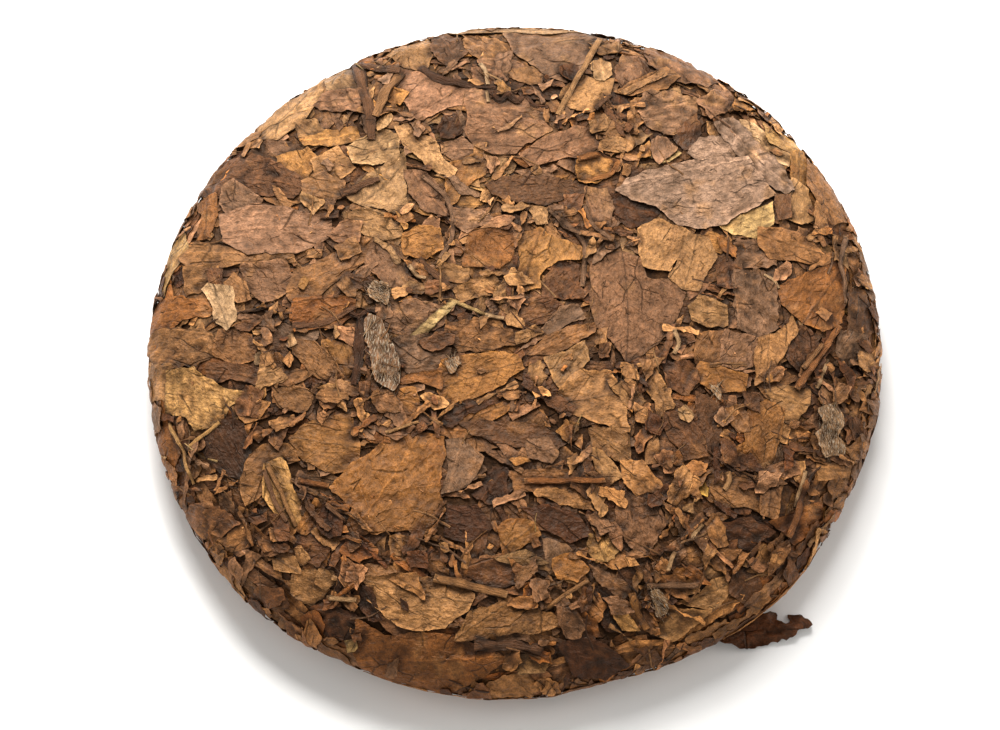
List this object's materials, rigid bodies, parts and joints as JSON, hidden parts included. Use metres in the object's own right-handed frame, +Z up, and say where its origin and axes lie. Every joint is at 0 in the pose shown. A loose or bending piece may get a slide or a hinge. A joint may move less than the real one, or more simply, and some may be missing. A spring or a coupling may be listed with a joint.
{
  "type": "white tea cake",
  "caption": "Round pressed cake of loose white tea leaves, lying flat, with a domed face, a rounded layered edge and a torn leaf at its foot.",
  "frame": {"origin": "middle of the underside of the shape's box, on the surface the cake lies on", "axes": "+Z up through the thickness, +X to the right and -Y towards the viewer, who sees the torn leaf at the front right"},
  "size_m": [0.1992, 0.1992, 0.0269],
  "materials": {
    "pressed_leaf": "dry pressed tea leaves, tan, brown, mauve and near black, mostly dull with a faint leathery sheen"
  },
  "bodies": {
    "root": {"tea_cake": "pressed_leaf"}
  },
  "joints": []
}
